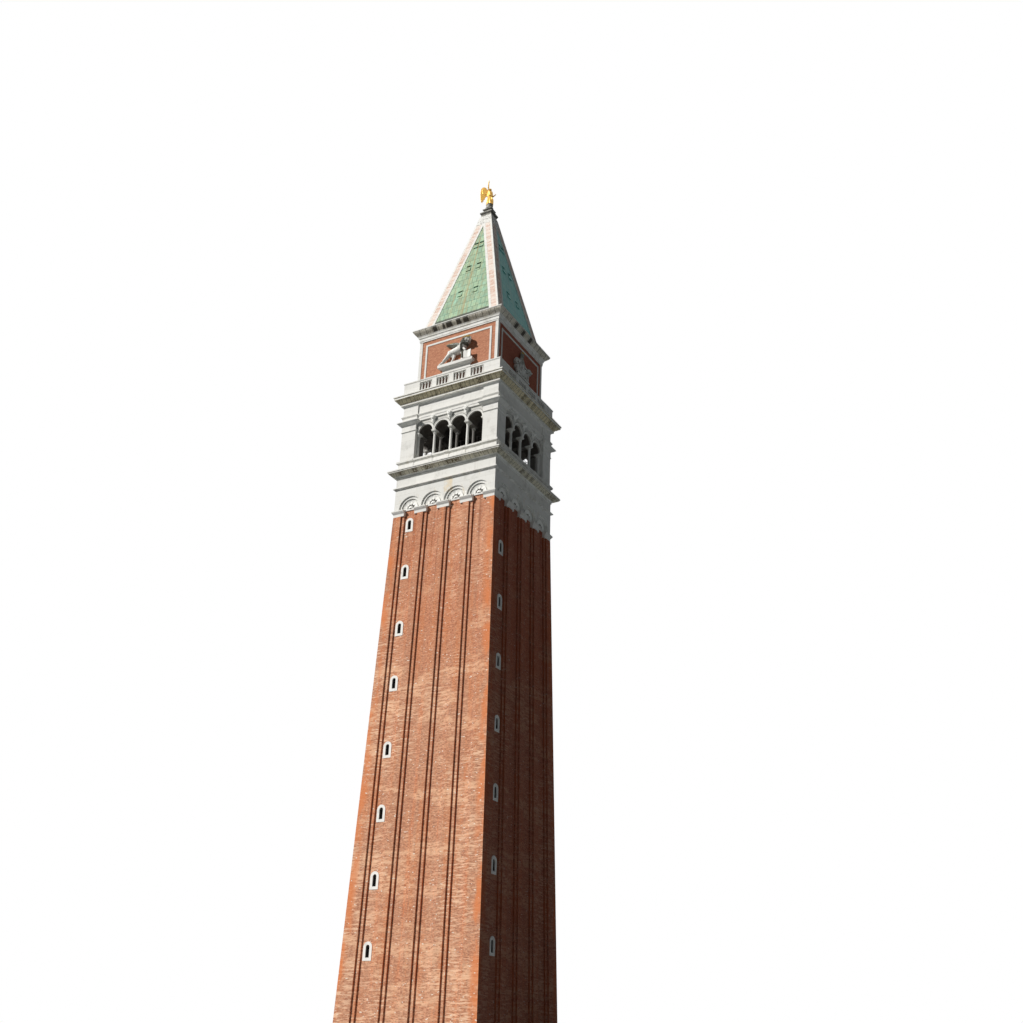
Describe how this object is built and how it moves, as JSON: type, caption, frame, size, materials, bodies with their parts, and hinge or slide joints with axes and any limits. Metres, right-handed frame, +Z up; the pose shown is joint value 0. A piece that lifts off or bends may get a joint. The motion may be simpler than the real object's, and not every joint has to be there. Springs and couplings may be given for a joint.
{
  "type": "bell tower scale model",
  "caption": "Tall square brick bell tower at one tenth size, with a stone arched belfry, attic reliefs, copper spire and a winged vane that turns.",
  "frame": {"origin": "centre of the base at ground level", "axes": "+Z up along the tower, -Y out of the front, +X out of the right side"},
  "size_m": [1.62, 1.62, 9.8602],
  "materials": {
    "brick": "matt mottled orange-brown brick",
    "white_stone": "matt pale stone with grey and olive stains",
    "copper_sheet": "matt pale green patina with streaks",
    "gilding": "satin gilding",
    "steel": "greased steel"
  },
  "bodies": {
    "tower": {"base_steps": "white_stone", "base_plinth": "white_stone", "front_wall": "brick", "right_wall": "brick", "back_wall": "brick", "left_wall": "brick", "window_surrounds": "white_stone", "front_blind_arcade": "white_stone", "right_blind_arcade": "white_stone", "back_blind_arcade": "white_stone", "left_blind_arcade": "white_stone", "string_course": "white_stone", "first_cornice": "white_stone", "belfry_floor": "white_stone", "belfry_parapet": "white_stone", "corner_piers": "white_stone", "front_arches": "white_stone", "right_arches": "white_stone", "back_arches": "white_stone", "left_arches": "white_stone", "belfry_columns": "white_stone", "entablature": "white_stone", "second_cornice": "white_stone", "terrace_slab": "white_stone", "balustrade_pedestals": "white_stone", "balustrade_rails": "white_stone", "balusters": "white_stone", "front_attic_wall": "brick", "right_attic_wall": "brick", "back_attic_wall": "brick", "left_attic_wall": "brick", "attic_trim": "white_stone", "relief_ledges": "white_stone", "lion_reliefs": "white_stone", "seated_figures": "white_stone", "third_cornice": "white_stone", "front_spire_slope": "copper_sheet", "right_spire_slope": "copper_sheet", "back_spire_slope": "copper_sheet", "left_spire_slope": "copper_sheet", "spire_ribs": "white_stone", "spire_cap": "white_stone", "pivot_pin": "steel"},
    "vane": {"turning_drum": "gilding", "winged_figure": "gilding"}
  },
  "joints": [
    {"name": "vane_turn", "type": "hinge", "parent": "tower", "child": "vane", "pos_m": [0, 0, 9.46], "axis": [0, 0, 1], "continuous": true}
  ]
}
